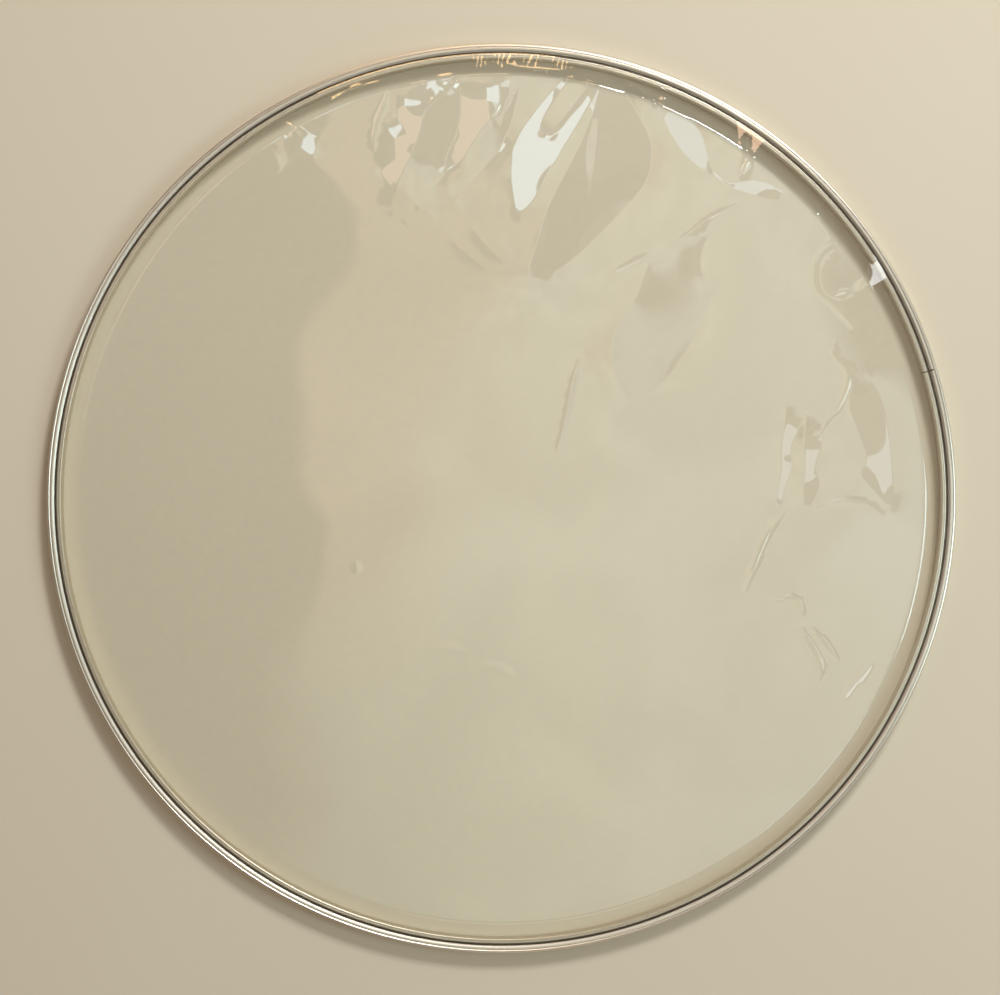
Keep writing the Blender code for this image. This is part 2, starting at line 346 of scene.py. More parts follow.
WHITE_LEAF = (
    Crease(((603, 66, 0.0), (602, 76, 0.5), (596, 92, 1.8), (582, 117, 2.7), (554, 164, 3.0),
            (533, 201, 2.7), (519, 214, 2.2))),
    Crease(((590, 72, 0.0), (572, 74, -0.3), (561, 80, -0.5), (538, 107, -0.6), (515, 141, -0.4),
            (511, 170, 0.1), (512, 185, 0.7), (514, 200, 1.4), (519, 214, 2.2))),
    Crease(((568, 82, 0.05), (556, 97, 0.0), (542, 120, 0.4), (540, 134, 1.0))),
    Crease(((586, 89, 0.3), (578, 100, 0.5), (570, 110, 0.6), (557, 125, 0.9), (548, 132, 1.0),
            (540, 134, 1.0))),
    Crease(((590, 90, 1.5), (582, 103, 1.7), (573, 113, 1.8), (560, 129, 1.8), (550, 138, 1.7))),
)
DARK_LEAF = (
    Crease(((605, 70, 0.0), (603, 80, 0.7), (598, 96, 1.9), (588, 128, 2.9), (573, 159, 3.15),
            (548, 208, 3.0), (533, 256, 2.75), (527, 275, 2.6), (522, 300, 1.4), (518, 330, 0.5),
            (516, 352, 0.0))),
    Crease(((606, 68, 0.0), (620, 85, -0.9), (632, 103, -1.4), (649, 136, -1.7), (652, 155, -1.8),
            (644, 185, -1.8), (609, 224, -1.7), (571, 260, -0.2), (540, 278, 1.7), (527, 275, 2.6))),
    Crease(((592, 120, 2.55), (586, 145, 2.5), (586, 170, 1.9), (591, 192, 0.9))),
    Crease(((598, 106, 2.0), (598, 126, 2.35), (595, 159, 1.9), (591, 192, 0.9))),
)
MIDDLE_TENT = (
    Crease(((484, 166, -0.6), (487, 186, 0.2), (491, 205, 1.0), (497, 230, 1.6), (508, 254, 2.15),
            (527, 275, 2.6))),
    Crease(((447, 190, 0.1), (468, 222, 1.0), (485, 244, 1.6), (505, 264, 2.15))),
    Crease(((395, 190, 0.6), (429, 214, 0.5), (460, 248, 1.0), (500, 278, 1.9), (527, 275, 2.6))),
    Crease(((400, 222, 0.1), (430, 250, 0.45), (458, 280, 0.8), (487, 302, 1.2), (512, 310, 1.25))),
)
LEFT_CRESCENTS = (
    Crease(((396, 96, 0.0), (398, 118, 0.0), (409, 137, 1.5), (409, 145, 1.6), (400, 157, 1.2),
            (381, 170, -0.2), (387, 182, 0.1), (395, 190, 0.6))),
    Crease(((463, 75, 0.0), (452, 87, 0.5), (438, 99, 1.2), (425, 112, 2.0), (418, 137, 2.3),
            (409, 160, 2.2), (399, 180, 1.2), (395, 190, 0.6), (388, 215, 0.1))),
    Crease(((458, 78, -0.4), (460, 95, -1.6), (460, 115, -1.9), (455, 137, -1.9), (447, 152, -1.8),
            (445, 165, -1.3), (447, 170, -0.8))),
    Crease(((498, 76, 0.2), (500, 90, 1.1), (499, 105, 1.5), (490, 119, 1.3), (475, 139, 0.6),
            (462, 160, -0.2), (447, 170, -0.8), (425, 200, 0.3), (412, 208, 0.3))),
    Crease(((520, 84, 0.0), (515, 112, -0.5), (500, 147, -1.0), (484, 166, -0.6), (462, 190, 0.0),
            (429, 214, 0.5))),
)
RIM_DROPS = (
    Crease(((436, 80, -0.2), (425, 82, -0.5), (427, 92, 0.0), (434, 97, 0.4), (440, 90, 0.35),
            (436, 80, -0.2))),
    Crease(((450, 72, -0.1), (438, 74, -0.4), (443, 85, 0.2), (451, 81, 0.35), (450, 72, -0.1))),
    Pinch(((504, 62), (538, 70), (571, 68)), 0.4, 1.2),
    Pinch(((391, 80), (384, 104), (375, 130), (374, 156)), 0.3, 1.2),
    Pinch(((520, 84), (506, 108), (500, 126)), 0.35, 1.4),
)
RIGHT_CLOUD = (
    Crease(((654, 100, -1.4), (664, 120, -1.2), (681, 150, -0.4), (700, 168, 0.1))),
    Crease(((664, 98, -1.5), (688, 116, -1.9), (702, 135, -1.4), (707, 155, -0.6), (708, 170, 0.0))),
    Crease(((709, 166, -0.5), (728, 183, -0.1), (752, 180, -0.4), (768, 183, -0.4), (786, 192, -0.1))),
    Crease(((712, 172, -0.3), (728, 186, 0.2), (742, 191, 0.3), (760, 197, 0.3), (780, 199, 0.0))),
)
RIGHT_LINES = (
    Pinch(((607, 66), (638, 88), (658, 103)), 0.35, 1.2),
    Pinch(((609, 62), (640, 74), (672, 89)), 0.35, 1.1),
    Pinch(((752, 127), (746, 145), (748, 160), (741, 174)), 0.9, 3.0),
    Pinch(((789, 193), (806, 195), (817, 205), (821, 219), (832, 240)), 0.4, 1.4),
    Pinch(((833, 243), (818, 257), (816, 273), (819, 291), (835, 306), (856, 330)), 0.4, 1.5),
    Pinch(((836, 250), (825, 262), (823, 282), (832, 297), (847, 294), (857, 292)), 0.35, 1.2),
    Pinch(((857, 292), (866, 278), (871, 262)), 0.6, 2.4),
)
DIAGONALS = (
    Crease(((786, 218, 0.1), (762, 237, 0.0), (740, 262, -0.5), (721, 293, -1.2), (708, 306, -1.6),
            (696, 334, -2.0), (679, 362, -1.9), (662, 383, -1.3), (634, 409, -0.5), (609, 440, 0.0),
            (576, 457, 0.1), (562, 484, 0.0))),
    Pinch(((746, 201), (730, 208), (707, 219), (690, 233), (671, 243)), 0.35, 1.2),
    Pinch(((652, 252), (636, 261), (621, 269), (608, 280)), 0.40, 1.5),
    Pinch(((584, 350), (575, 373), (568, 407), (562, 434), (554, 460)), 0.35, 1.2),
    Crease(((650, 259, 0.2), (643, 279, 1.0), (634, 301, 1.4), (618, 323, 1.5), (612, 346, 1.4),
            (612, 362, 1.2), (616, 380, 0.7), (628, 398, 0.0))),
    Crease(((732, 218, 0.0), (718, 226, -0.6), (707, 240, -1.1), (701, 254, -1.4), (701, 268, -1.5),
            (708, 277, -1.3), (719, 270, -1.0), (734, 254, -0.5), (754, 241, -0.1))),
)
RIGHT_FIELD = (
    Pinch(((837, 338), (833, 355), (849, 371), (847, 390), (836, 412), (827, 420), (820, 435)), 0.4, 1.4),
    Crease(((787, 404, 0.0), (785, 425, 0.5), (781, 448, 0.7), (782, 470, 0.6), (777, 490, 0.5),
            (777, 510, 0.0))),
    Crease(((809, 404, 0.0), (802, 422, -0.4), (791, 448, -0.3), (792, 468, -0.3), (785, 488, -0.2),
            (782, 510, 0.0))),
    Crease(((806, 416, 0.1), (804, 440, 0.5), (805, 466, 0.6), (803, 490, 0.5), (804, 512, 0.0))),
    Crease(((821, 416, 0.0), (822, 446, -0.4), (815, 466, -0.2), (820, 485, -0.3), (809, 510, 0.0))),
    Crease(((851, 374, 0.0), (849, 405, 0.4), (858, 430, 0.4), (867, 458, 0.5), (861, 476, 0.5),
            (884, 500, 0.0))),
    Crease(((868, 374, 0.0), (884, 405, -0.6), (891, 450, -0.8), (893, 485, -0.6), (892, 506, 0.0))),
    Pinch(((805, 512), (831, 501), (862, 502), (887, 518)), 0.3, 1.3),
    Pinch(((789, 507), (770, 531), (758, 558), (743, 597)), 0.35, 1.3),
    Pinch(((770, 602), (784, 597), (798, 599), (803, 618)), 0.3, 1.3),
    Pinch(((799, 624), (812, 647), (822, 666), (818, 682)), 0.4, 1.6),
    Pinch(((809, 625), (828, 647), (840, 663)), 0.35, 1.4),
    Pinch(((842, 702), (852, 685), (874, 662)), 0.3, 1.4),
)
LEFT_FIELD = (
    Crease(((285, 130, -0.6), (298, 126, -0.55), (309, 133, -0.1), (316, 147, 0.55), (313, 157, 0.85))),
    Crease(((285, 130, -0.6), (284, 136, -0.35), (291, 141, -0.1), (300, 148, 0.25), (313, 157, 0.85))),
    Crease(((278, 146, 0.0), (286, 152, -0.2), (288, 162, -0.2), (281, 170, 0.0))),
    Crease(((275, 150, 0.0), (277, 160, 0.3), (281, 170, 0.0))),
    Pinch(((262, 131), (283, 118), (302, 111)), 0.4, 1.3),
    Pinch(((270, 112), (284, 121), (296, 130)), 0.4, 1.2),
)
SCUFFS = (
    Pinch(((430, 650), (450, 649), (470, 652)), 0.15, 0.8),
    Pinch(((480, 664), (497, 668), (515, 676)), 0.15, 0.8),
    Pinch(((354, 560), (357, 568), (356, 576)), 0.15, 0.7),
    Pinch(((73, 414), (76, 400), (80, 384)), 0.40, 1.2),
    Pinch(((183, 203), (196, 192), (208, 176)), 0.35, 1.2),
    Pinch(((222, 160), (240, 146), (254, 130)), 0.35, 1.2),
    Pinch(((330, 100), (352, 88), (380, 80)), 0.40, 1.3),
)
CREASE_GROUPS = (
    WHITE_LEAF, DARK_LEAF, MIDDLE_TENT, LEFT_CRESCENTS, RIM_DROPS, RIGHT_CLOUD, RIGHT_LINES, DIAGONALS,
    RIGHT_FIELD, LEFT_FIELD, SCUFFS,
)

# The collar and the bend
FOOT_GAP = 0.0005
FOOT_RADIUS = FILM_RADIUS - FOOT_GAP
SLOPE = (FILM_MIDDLE - HOOP_HEIGHT - FOOT_GAP) / COLLAR_WIDTH
BEND_HALF = 0.0011

# Where the film turns down into the mouth and out again at the hem, as steps outwards and upwards
MOUTH_TURN = ((-0.00022, -0.00024), (-0.00005, -0.00055), (0.0, -0.0010))
HEM_TURN = ((0.0, 0.0010), (0.0003, 0.0003), (0.0010, 0.0))

# The small pleats on the collar at the top, in degrees and metres
PLEATS_START = 78.5
PLEATS_END = 94.5
PLEATS_FADE_TURN = 1.5
PLEATS_INNER_RADIUS = 0.2765
PLEATS_OUTER_RADIUS = 0.2822
PLEATS_FADE = 0.0012
PLEATS_HEIGHT = 0.30 * MILLIMETRE
PLEATS_PACE = 9.0
PLEATS_SWAY = 1.3
PLEATS_SWAY_PACE = 2.3
PLEATS_UNEVEN = 0.35
PLEATS_UNEVEN_PACE = 1.7

# Points along the creases and beside them, in metres
CREASE_STEP = 0.0020
CURVE_STEPS = 24
CREASE_ROUNDING = 0.0006
ROUNDING_CROWDING = 0.7
PINCH_END_WIDTH = 0.25
LINE_MERGE = 0.0005
SAME_POINT = 1e-7
EDGE_MARGIN = 0.0006
CELL = 0.001

# Points of the even film between the creases, in metres
FINE_SPACING = 0.0036
FINE_MARGIN = 0.02
COARSE_SPACING = 0.0080
ROW_SHARE = 0.866
GRID_CROWDING = 0.55
GRID_WIDTH = 0.54
GRID_RADIUS = 0.2645

# Rings of points at the bend and on the collar, in degrees apart and metres from the middle
PLAIN_TURN = 0.5
PLEATED_TURN = 0.125
PLEATED_SECTOR = (76.125, 98.0)
RING_MERGE = 0.00045
COLLAR_RINGS = (0.2830, 0.2805, 0.2780, 0.2755, 0.2730, 0.2712, 0.2704, 0.2698, 0.2693, 0.2688, 0.2682,
                0.2674, 0.2658)


def on_film(point):
    """A pixel of the photograph as a place on the film, in metres from its centre."""
    scale = METRES_PER_PIXEL * (HOOP_HEIGHT + CAMERA_ABOVE_HOOP - FILM_TOP) / CAMERA_ABOVE_HOOP
    return np.array((point[0] - HOOP_MIDDLE_PX[0], HOOP_MIDDLE_PX[1] - point[1])) * scale


def smooth_line(points):
    """Even points on a smooth curve through the given ones, their heights and their shares of its length."""
    knots = np.array([(*on_film(p), p[2] * MILLIMETRE if len(p) > 2 else 0.0) for p in points])
    knots = np.vstack((2 * knots[0] - knots[1], knots, 2 * knots[-1] - knots[-2]))
    dense = []
    for i in range(1, len(knots) - 2):
        a, b, c, d = knots[i - 1:i + 3]
        for t in np.linspace(0.0, 1.0, CURVE_STEPS, endpoint=False):
            dense.append(0.5 * (2 * b + (c - a) * t + (2 * a - 5 * b + 4 * c - d) * t**2
                                + (3 * b - 3 * c + d - a) * t**3))
    dense = np.array(dense + [knots[-2]])
    lengths = np.concatenate(([0.0], np.cumsum(np.hypot(*np.diff(dense[:, :2], axis=0).T))))
    count = max(3, round(lengths[-1] / CREASE_STEP) + 1)
    at = np.linspace(0.0, lengths[-1], count)
    line = np.column_stack([np.interp(at, lengths, dense[:, k]) for k in (0, 1)])
    return line, np.interp(at, lengths, dense[:, 2]), at / lengths[-1]


def swell(share, peak):
    """Rises from nothing to one at the peak, and falls to nothing again."""
    rising = np.sin(pi / 2 * np.clip(share / peak, 0.0, 1.0))
    falling = np.cos(pi / 2 * np.clip((share - peak) / (1 - peak), 0.0, 1.0))
    return np.where(share < peak, rising, falling)


def sideways(line):
    """Unit vectors across a line."""
    along = np.gradient(line, axis=0)
    along /= np.hypot(along[:, 0], along[:, 1])[:, None]
    return np.column_stack((-along[:, 1], along[:, 0]))


class Network:
    """Points and lines that the film's triangles follow, some of them at a given height."""

    def __init__(self):
        self.points = []
        self.edges = []
        self.heights = {}
        self.cells = {}

    def crowded(self, point, gap):
        cell = tuple((point // CELL).astype(int))
        reach = int(gap // CELL) + 1
        for i in range(cell[0] - reach, cell[0] + reach + 1):
            for j in range(cell[1] - reach, cell[1] + reach + 1):
                for other in self.cells.get((i, j), ()):
                    if np.hypot(*(self.points[other] - point)) < gap:
                        return other
        return None

    def add(self, point, gap, height=None):
        """Adds a point unless one is near, and returns the index of the point that stands there."""
        point = np.asarray(point, float)
        near = self.crowded(point, gap)
        if near is not None:
            return near
        index = len(self.points)
        self.points.append(point)
        self.cells.setdefault(tuple((point // CELL).astype(int)), []).append(index)
        if height is not None:
            self.heights[index] = height
        return index

    def add_line(self, line, heights):
        """Adds the part of a line that lies inside the collar's foot. Its heights begin there."""
        inside = np.hypot(line[:, 0], line[:, 1]) < FOOT_RADIUS - EDGE_MARGIN
        before = None
        for point, height in zip(line[inside], heights):
            index = self.add(point, LINE_MERGE, height)
            if before is not None and before != index:
                self.edges.append((before, index))
            before = index


def add_crease(network, crease):
    """Adds a crease's line, or a pinch's ridge and its two feet."""
    line, heights, share = smooth_line(crease.line)
    if isinstance(crease, Pinch):
        across = sideways(line)
        rise = swell(share, crease.peak)
        spread = crease.half_width * MILLIMETRE * (PINCH_END_WIDTH + (1 - PINCH_END_WIDTH) * rise)
        network.add_line(line, crease.height * MILLIMETRE * rise)
        for side in (-1, 1):
            network.add_line(line + side * across * spread[:, None], np.zeros(len(line)))
        return
    network.add_line(line, heights)


def round_creases(network, crease):
    """Points close beside a crease, so that the film's bend there is narrow."""
    line = smooth_line(crease.line)[0]
    across = sideways(line)
    for side in (-1, 1):
        for point in line + side * across * CREASE_ROUNDING:
            if np.hypot(*point) < FOOT_RADIUS - EDGE_MARGIN:
                network.add(point, CREASE_ROUNDING * ROUNDING_CROWDING)


def ring_angles():
    """Angles of the film's rings, closer together where the collar is pleated."""
    plain = np.arange(0.0, 360.0, PLAIN_TURN)
    extra = np.arange(*PLEATED_SECTOR, PLEATED_TURN)
    angles = np.unique(np.round(np.concatenate((plain, extra)), 3))
    return np.radians(angles)


def base_height(radius):
    """The uncreased film's middle height: flat, rounded over at the bend, then down the collar."""
    past = np.clip(radius - (BEND_RADIUS - BEND_HALF), 0.0, 2 * BEND_HALF)
    beyond = np.clip(radius - (BEND_RADIUS + BEND_HALF), 0.0, None)
    return FILM_MIDDLE - SLOPE * past**2 / (4 * BEND_HALF) - SLOPE * beyond


# How far a crease lifts the film beside it, and when the relaxing ends
CREASE_REACH = 0.030
RELAX_STEPS = 1500
RELAX_TOLERANCE = 1e-9
SMALLEST_AREA = 1e-12
SMALLEST_WEIGHT = 1e-9


def relax(points, triangles, fixed, heights):
    """Heights of a stretched film that is held at the fixed points and pulled flat elsewhere."""
    corners = points[triangles]
    rows, columns, weights = [], [], []
    area = 0.5 * np.abs(
        (corners[:, 1, 0] - corners[:, 0, 0]) * (corners[:, 2, 1] - corners[:, 0, 1])
        - (corners[:, 1, 1] - corners[:, 0, 1]) * (corners[:, 2, 0] - corners[:, 0, 0])
    )
    area = np.maximum(area, SMALLEST_AREA)
    for k in range(3):
        i, j = triangles[:, (k + 1) % 3], triangles[:, (k + 2) % 3]
        a = corners[:, (k + 1) % 3] - corners[:, k]
        b = corners[:, (k + 2) % 3] - corners[:, k]
        weight = (a * b).sum(1) / (4 * area)
        rows += [i, j]
        columns += [j, i]
        weights += [weight, weight]
    rows, columns, weights = map(np.concatenate, (rows, columns, weights))
    count = len(points)
    mass = np.bincount(triangles.ravel(), np.repeat(area / 3, 3), count) / CREASE_REACH**2
    diagonal = np.bincount(rows, weights, count) + mass

    def apply(values):
        return diagonal * values - np.bincount(rows, weights * values[columns], count)

    free = ~fixed
    solution = np.where(fixed, heights, 0.0)
    residual = -apply(solution) * free
    scale = 1.0 / np.maximum(diagonal, SMALLEST_WEIGHT)
    step = residual * scale
    direction = step.copy()
    energy = residual @ step
    for _ in range(RELAX_STEPS):
        moved = apply(direction) * free
        length = energy / (direction @ moved)
        solution += length * direction
        residual -= length * moved
        if np.abs(residual).max() < RELAX_TOLERANCE:
            break
        step = residual * scale
        before, energy = energy, residual @ step
        direction = step + energy / before * direction
    return solution


class Wave(NamedTuple):
    """A slow wave of the slack film: its length in metres and its height in millimetres.

    It turns from the X axis by an angle in radians, and starts at a phase in radians.
    """

    length: float
    turn: float
    phase: float
    height: float


WAVES = (
    Wave(0.230, 0.4, 0.3, 0.20), Wave(0.170, 1.5, 1.9, 0.15), Wave(0.120, 2.5, 4.2, 0.08),
    Wave(0.085, 0.9, 2.2, 0.03),
)
WAVES_FADE = 0.05


def waves(x, y):
    """The height of all slow waves, which fade towards the bend."""
    total = np.zeros_like(x)
    for wave in WAVES:
        along = x * cos(wave.turn) + y * sin(wave.turn)
        total += wave.height * np.sin(2 * pi * along / wave.length + wave.phase)
    inside = np.clip((BEND_RADIUS - np.hypot(x, y)) / WAVES_FADE, 0.0, 1.0)
    return total * MILLIMETRE * inside**2 * (3 - 2 * inside)


def pleats(x, y):
    """The small upright pleats on the collar at the top."""
    radius = np.hypot(x, y)
    angle = np.degrees(np.arctan2(y, x))
    sector = np.clip((angle - PLEATS_START) / PLEATS_FADE_TURN, 0, 1)
    sector *= np.clip((PLEATS_END - angle) / PLEATS_FADE_TURN, 0, 1)
    band = np.clip((radius - PLEATS_INNER_RADIUS) / PLEATS_FADE, 0, 1)
    band *= np.clip((PLEATS_OUTER_RADIUS - radius) / PLEATS_FADE, 0, 1)
    teeth = np.sin(angle * PLEATS_PACE + PLEATS_SWAY * np.sin(angle * PLEATS_SWAY_PACE))
    teeth *= 1 - PLEATS_UNEVEN + PLEATS_UNEVEN * np.sin(angle * PLEATS_UNEVEN_PACE)
    return PLEATS_HEIGHT * teeth * sector * band


def film_network():
    """The network of the whole film inside the collar's foot, and the number of points on that ring."""
    network = Network()
    angles = ring_angles()
    edge = []
    for angle in angles:
        edge.append(len(network.points))
        network.points.append(FOOT_RADIUS * np.array((cos(angle), sin(angle))))
        network.heights[edge[-1]] = 0.0
    network.edges += list(zip(edge, edge[1:] + edge[:1]))
    creases = [crease for group in CREASE_GROUPS for crease in group]
    for crease in creases:
        add_crease(network, crease)
    for crease in creases:
        round_creases(network, crease)
    for radius in COLLAR_RINGS:
        spots = [network.add(radius * np.array((cos(a), sin(a))), RING_MERGE) for a in angles]
        network.edges += [(a, b) for a, b in zip(spots, spots[1:] + spots[:1]) if a != b]
    marks = np.array([network.points[i] for i in network.heights if i >= len(angles)])
    low, high = marks.min(0) - FINE_MARGIN, marks.max(0) + FINE_MARGIN
    for spacing, fine in ((FINE_SPACING, True), (COARSE_SPACING, False)):
        rows = int(GRID_WIDTH / (spacing * ROW_SHARE)) + 1
        for row in range(-rows // 2, rows // 2 + 1):
            for column in range(-rows // 2, rows // 2 + 1):
                spot = np.array(((column + 0.5 * (row % 2)) * spacing, row * spacing * ROW_SHARE))
                in_box = low[0] < spot[0] < high[0] and low[1] < spot[1] < high[1]
                if np.hypot(*spot) < GRID_RADIUS and in_box == fine:
                    network.add(spot, spacing * GRID_CROWDING)
    return network, len(angles)


def film_below():
    """The film's line below the collar's foot, through the mouth to the hem, as radius and height."""
    foot = float(base_height(np.array(FOOT_RADIUS)))
    mouth = [(FILM_RADIUS + out, foot + up) for out, up in MOUTH_TURN]
    hem = [(FILM_RADIUS + out, HEM_MIDDLE + up) for out, up in HEM_TURN]
    return mouth + hem + [(HEM_EDGE_RADIUS, HEM_MIDDLE)]


def build_film(material):
    """The creased sheet, its collar and its hem, with the film's real thickness."""
    network, ring = film_network()
    spots, _, cells, origins, _, _ = delaunay_2d_cdt(
        [Vector(p) for p in network.points], network.edges, [], 0, SAME_POINT, True
    )
    points = np.array([tuple(v) for v in spots])
    triangles = np.array([cell for cell in cells if len(cell) == 3])
    fixed = np.zeros(len(points), bool)
    heights = np.zeros(len(points))
    place = {}
    for index, sources in enumerate(origins):
        for source in sources:
            place[source] = index
            if source in network.heights:
                fixed[index] = True
                heights[index] = network.heights[source]
    rise = relax(points, triangles, fixed, heights)
    x, y = points.T
    z = base_height(np.hypot(x, y)) + rise + waves(x, y) + pleats(x, y)
    places = [tuple(p) for p in np.column_stack((x, y, z)).tolist()]
    faces = []
    a, b, c = points[triangles[:, 0]], points[triangles[:, 1]], points[triangles[:, 2]]
    turn = (b[:, 0] - a[:, 0]) * (c[:, 1] - a[:, 1]) - (b[:, 1] - a[:, 1]) * (c[:, 0] - a[:, 0])
    for face, side in zip(triangles.tolist(), turn):
        faces.append(tuple(face) if side > 0 else tuple(reversed(face)))
    outer = [place[i] for i in range(ring)]
    angles = ring_angles()
    for radius, height in film_below():
        start = len(places)
        places += [(radius * cos(angle), radius * sin(angle), height) for angle in angles]
        lower = list(range(start, start + ring))
        for i in range(ring):
            j = (i + 1) % ring
            faces.append((outer[j], outer[i], lower[i], lower[j]))
        outer = lower
    film = add_mesh("clear_film_sheet", places, faces, material)
    skin = film.modifiers.new("thickness", "SOLIDIFY")
    skin.thickness = FILM_THICKNESS
    skin.offset = 0.0
    return film


def add_light(name, place, size, strength, color):
    """A softbox that faces the head. Its strength is the brightness of its face."""
    data = bpy.data.lights.new(name, "AREA")
    data.shape = "RECTANGLE"
    data.size, data.size_y = size
    data.energy = strength * pi * size[0] * size[1]
    data.color = color
    light = bpy.data.objects.new(name, data)
    light.location = place
    light.rotation_euler = (-Vector(place)).to_track_quat("-Z", "Y").to_euler()
    light.visible_camera = False
    bpy.context.scene.collection.objects.link(light)
    return light


def add_mirrored_light(name, place, size, strength, color):
    """A softbox that shows only in mirroring surfaces, and leaves the floor plain."""
    light = add_light(name, place, size, strength, color)
    light.visible_diffuse = False
    return light


OVERHEAD_HEIGHT = 2.4


def add_overhead_light(name, place, size, strength, color, turn=0.0):
    """A level softbox overhead, turned about its own axis by the given degrees."""
    light = add_light(name, (*place, OVERHEAD_HEIGHT), size, strength, color)
    light.rotation_euler = (0.0, 0.0, radians(turn))
    return light


# The glowing card overhead: its size, its notch, and its tones from left to right, above and below
CARD_HEIGHT = 2.6
CARD_RADIUS = 0.76
CARD_RIM_START = 0.715
CARD_STRETCH = 1.25
CARD_SPAN = 0.8
CARD_NOTCH = (0.74, 0.31, 0.0)
UPPER_TONES = (
    (-0.300, (0.02, 0.02, 0.01)), (-0.275, (1.02, 0.72, 0.53)), (-0.170, (1.06, 0.80, 0.62)),
    (-0.085, (1.34, 1.34, 1.08)), (0.180, (1.42, 1.48, 1.20)), (0.400, (1.14, 1.18, 1.14)),
    (0.700, (1.24, 1.33, 1.38)),
)
LOWER_TONES = (
    (-0.400, (0.02, 0.02, 0.01)), (-0.200, (0.82, 0.94, 0.70)), (0.100, (1.20, 1.30, 1.00)),
    (0.400, (1.14, 1.18, 1.06)),
)


def card_tones(n, across, tones):
    """A ramp of glowing tones across the card, each at its place in metres."""
    share = n.math("DIVIDE", n.math("ADD", across, CARD_SPAN), 2 * CARD_SPAN)
    node = n.add("ShaderNodeValToRGB", Fac=share)
    ramp = node.color_ramp
    while len(ramp.elements) < len(tones):
        ramp.elements.new(0.5)
    for element, (spot, color) in zip(ramp.elements, tones):
        element.position = (spot + CARD_SPAN) / (2 * CARD_SPAN)
        element.color = (*color, 1.0)
    return node.outputs[0]


def add_ceiling_card():
    """A round glowing card overhead, dark on the left, rosy beside that, which the flat film mirrors."""
    bpy.ops.mesh.primitive_circle_add(
        vertices=96, radius=CARD_RADIUS, fill_type="NGON", location=(0.0, 0.0, CARD_HEIGHT)
    )
    card = bpy.context.object
    card.name = "ceiling_card"
    for vertex in card.data.vertices:
        vertex.co.y *= CARD_STRETCH
    card.visible_camera = False
    material, n = new_material("card_glow")
    place = n.add("ShaderNodeTexCoord").outputs["Object"]
    shrunk = n.add("ShaderNodeVectorMath", {"operation": "MULTIPLY"}, Vector=place)
    shrunk.inputs[1].default_value = (1.0, 1.0 / CARD_STRETCH, 1.0)
    reach = n.add("ShaderNodeVectorMath", {"operation": "LENGTH"}, Vector=shrunk.outputs[0])
    rim = n.add(
        "ShaderNodeMapRange", Value=reach.outputs["Value"], From_Min=CARD_RIM_START, From_Max=CARD_RADIUS,
        To_Min=1.0, To_Max=0.0,
    )
    bends = n.add("ShaderNodeTexNoise", Vector=place, Scale=3.4, Detail=1.0).outputs["Fac"]
    axes = n.add("ShaderNodeSeparateXYZ", Vector=place)
    bent = n.math("ADD", axes.outputs["X"], n.math("MULTIPLY", n.math("SUBTRACT", bends, 0.5), 0.20))
    height = n.add("ShaderNodeMapRange", Value=axes.outputs["Y"], From_Min=-0.30, From_Max=-0.14)
    lower, upper = card_tones(n, bent, LOWER_TONES), card_tones(n, bent, UPPER_TONES)
    tone = n.mix_colors(height.outputs[0], lower, upper)
    patches = n.add("ShaderNodeTexNoise", Vector=place, Scale=4.5, Detail=1.5)
    cloud = n.add(
        "ShaderNodeMapRange", Value=patches.outputs["Fac"], From_Min=0.40, From_Max=0.60,
        To_Min=0.80, To_Max=1.06,
    )
    away = n.add("ShaderNodeVectorMath", {"operation": "DISTANCE"}, Vector=place)
    away.inputs[1].default_value = CARD_NOTCH
    notch = n.add("ShaderNodeMapRange", Value=away.outputs["Value"], From_Min=0.16, From_Max=0.26)
    strength = n.math("MULTIPLY", n.math("MULTIPLY", rim.outputs[0], cloud.outputs[0]), notch.outputs[0])
    glow = n.add("ShaderNodeEmission", Color=tone, Strength=strength)
    n.add("ShaderNodeOutputMaterial", Surface=glow.outputs[0])
    card.data.materials.append(material)


def build_world():
    """A plain room: warm and pale round the sides, dim overhead, with a backdrop like the floor."""
    world = bpy.data.worlds.new("studio")
    world.use_nodes = True
    n = Nodes(world.node_tree)
    direction = n.add("ShaderNodeTexCoord").outputs["Generated"]
    up = n.add("ShaderNodeSeparateXYZ", Vector=direction).outputs["Z"]
    tone = n.add("ShaderNodeValToRGB", Fac=up)
    ramp = tone.color_ramp
    ramp.elements[0].position = 0.10
    ramp.elements[0].color = (0.58, 0.46, 0.31, 1.0)
    ramp.elements[1].position = 0.75
    ramp.elements[1].color = (0.22, 0.18, 0.17, 1.0)
    middle = ramp.elements.new(0.30)
    middle.color = (0.33, 0.23, 0.13, 1.0)
    seen = n.add("ShaderNodeLightPath").outputs["Is Camera Ray"]
    light = n.add(
        "ShaderNodeBackground", Color=n.mix_colors(seen, tone.outputs[0], BACKDROP), Strength=1.0
    )
    n.add("ShaderNodeOutputWorld", Surface=light.outputs[0])
    bpy.context.scene.world = world


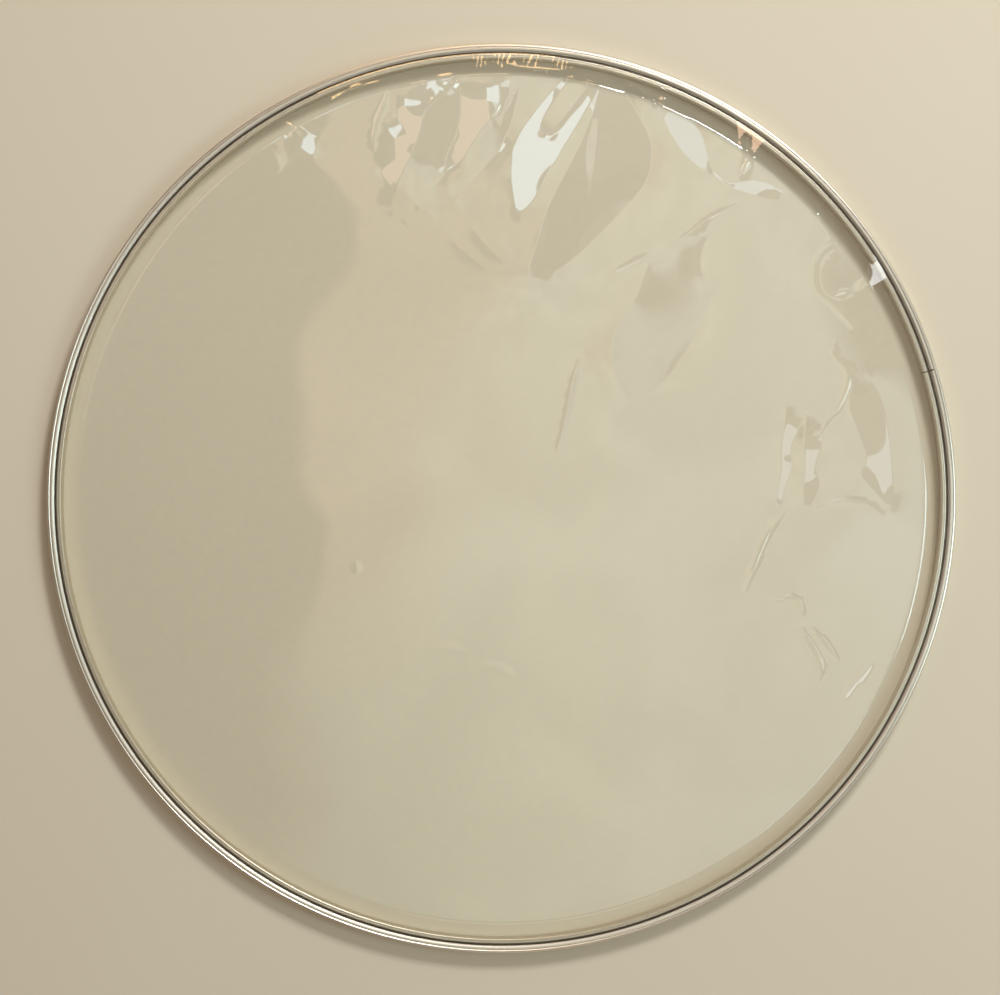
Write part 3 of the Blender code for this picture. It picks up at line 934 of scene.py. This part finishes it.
def build_studio():
    bpy.ops.mesh.primitive_plane_add(size=FLOOR_SIZE, location=(0.0, 0.0, 0.0))
    floor = bpy.context.object
    floor.name = "studio_floor"
    floor.data.materials.append(floor_material())
    build_world()
    add_ceiling_card()
    add_overhead_light("white_softbox", (-0.45, 1.02), (0.18, 0.52), 4.3, (0.68, 0.86, 1.0))
    add_overhead_light("small_white_softbox", (0.41, 0.91), (0.26, 0.40), 2.8, (0.70, 0.83, 1.0), -24.0)
    add_overhead_light("gold_softbox", (-0.91, 0.69), (0.60, 0.54), 1.9, (1.0, 0.70, 0.56), 53.0)
    add_overhead_light("side_softbox", (1.12, -0.06), (0.44, 0.40), 2.0, (0.76, 0.87, 1.0))
    add_overhead_light("front_softbox", (0.78, -0.70), (0.44, 0.40), 3.3, (0.80, 0.90, 1.0), 48.0)
    add_light("key", (0.8, 1.6, 1.6), (0.7, 0.5), 37.5, (0.95, 0.97, 1.0))
    add_light("right_fill", (1.4, -0.2, 1.4), (0.6, 0.8), 6.5, (0.72, 0.95, 1.0))
    add_light("front_fill", (0.2, -2.4, 1.5), (1.6, 1.0), 1.0, (1.0, 0.98, 0.94))
    add_mirrored_light("low_gold_strip", (-0.29, 1.9, 0.20), (1.08, 0.20), 8.0, (1.0, 0.62, 0.30))
    add_mirrored_light("high_gold_panel", (-0.1, 1.75, 1.60), (0.40, 0.40), 6.0, (1.0, 0.68, 0.40))
    add_mirrored_light("left_white_panel", (-1.6, 0.5, 1.60), (0.40, 0.30), 2.0, (0.86, 0.93, 1.0))
    add_mirrored_light("collar_gold_spot", (1.22, 1.80, 0.42), (0.17, 0.46), 6.0, (1.0, 0.64, 0.44))
    white_spot = add_mirrored_light(
        "collar_white_spot", (1.863, 1.115, 0.42), (0.09, 0.40), 6.0, (0.90, 0.95, 1.0)
    )
    white_spot.rotation_euler.rotate_axis("Z", radians(14.0))


def build_camera():
    data = bpy.data.cameras.new("camera")
    data.sensor_width = 36.0
    half_width = PHOTO_WIDTH / 2 * METRES_PER_PIXEL
    data.lens = data.sensor_width / 2 * CAMERA_ABOVE_HOOP / half_width
    camera = bpy.data.objects.new("camera", data)
    camera.location = (
        (FRAME_MIDDLE_PX[0] - HOOP_MIDDLE_PX[0]) * METRES_PER_PIXEL,
        (HOOP_MIDDLE_PX[1] - FRAME_MIDDLE_PX[1]) * METRES_PER_PIXEL,
        HOOP_HEIGHT + CAMERA_ABOVE_HOOP,
    )
    bpy.context.scene.collection.objects.link(camera)
    bpy.context.scene.camera = camera


def dress(node, material):
    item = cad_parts[node]
    item.data.materials.clear()
    item.data.materials.append(material)


build_camera()
build_studio()
hoop = build_hoop(aluminium_material("hoop_aluminium", (0.65, 0.595, 0.50, 1.0), 0.35))
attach(hoop, "root")
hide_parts("hoop_channel")
film = build_film(film_material())
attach(film, "root")
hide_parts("film")
dress("resin_fill", resin_material())
dress("joint_key", aluminium_material("key_aluminium", (0.66, 0.66, 0.65, 1.0), 0.45))
bpy.context.scene.view_settings.view_transform = "Standard"
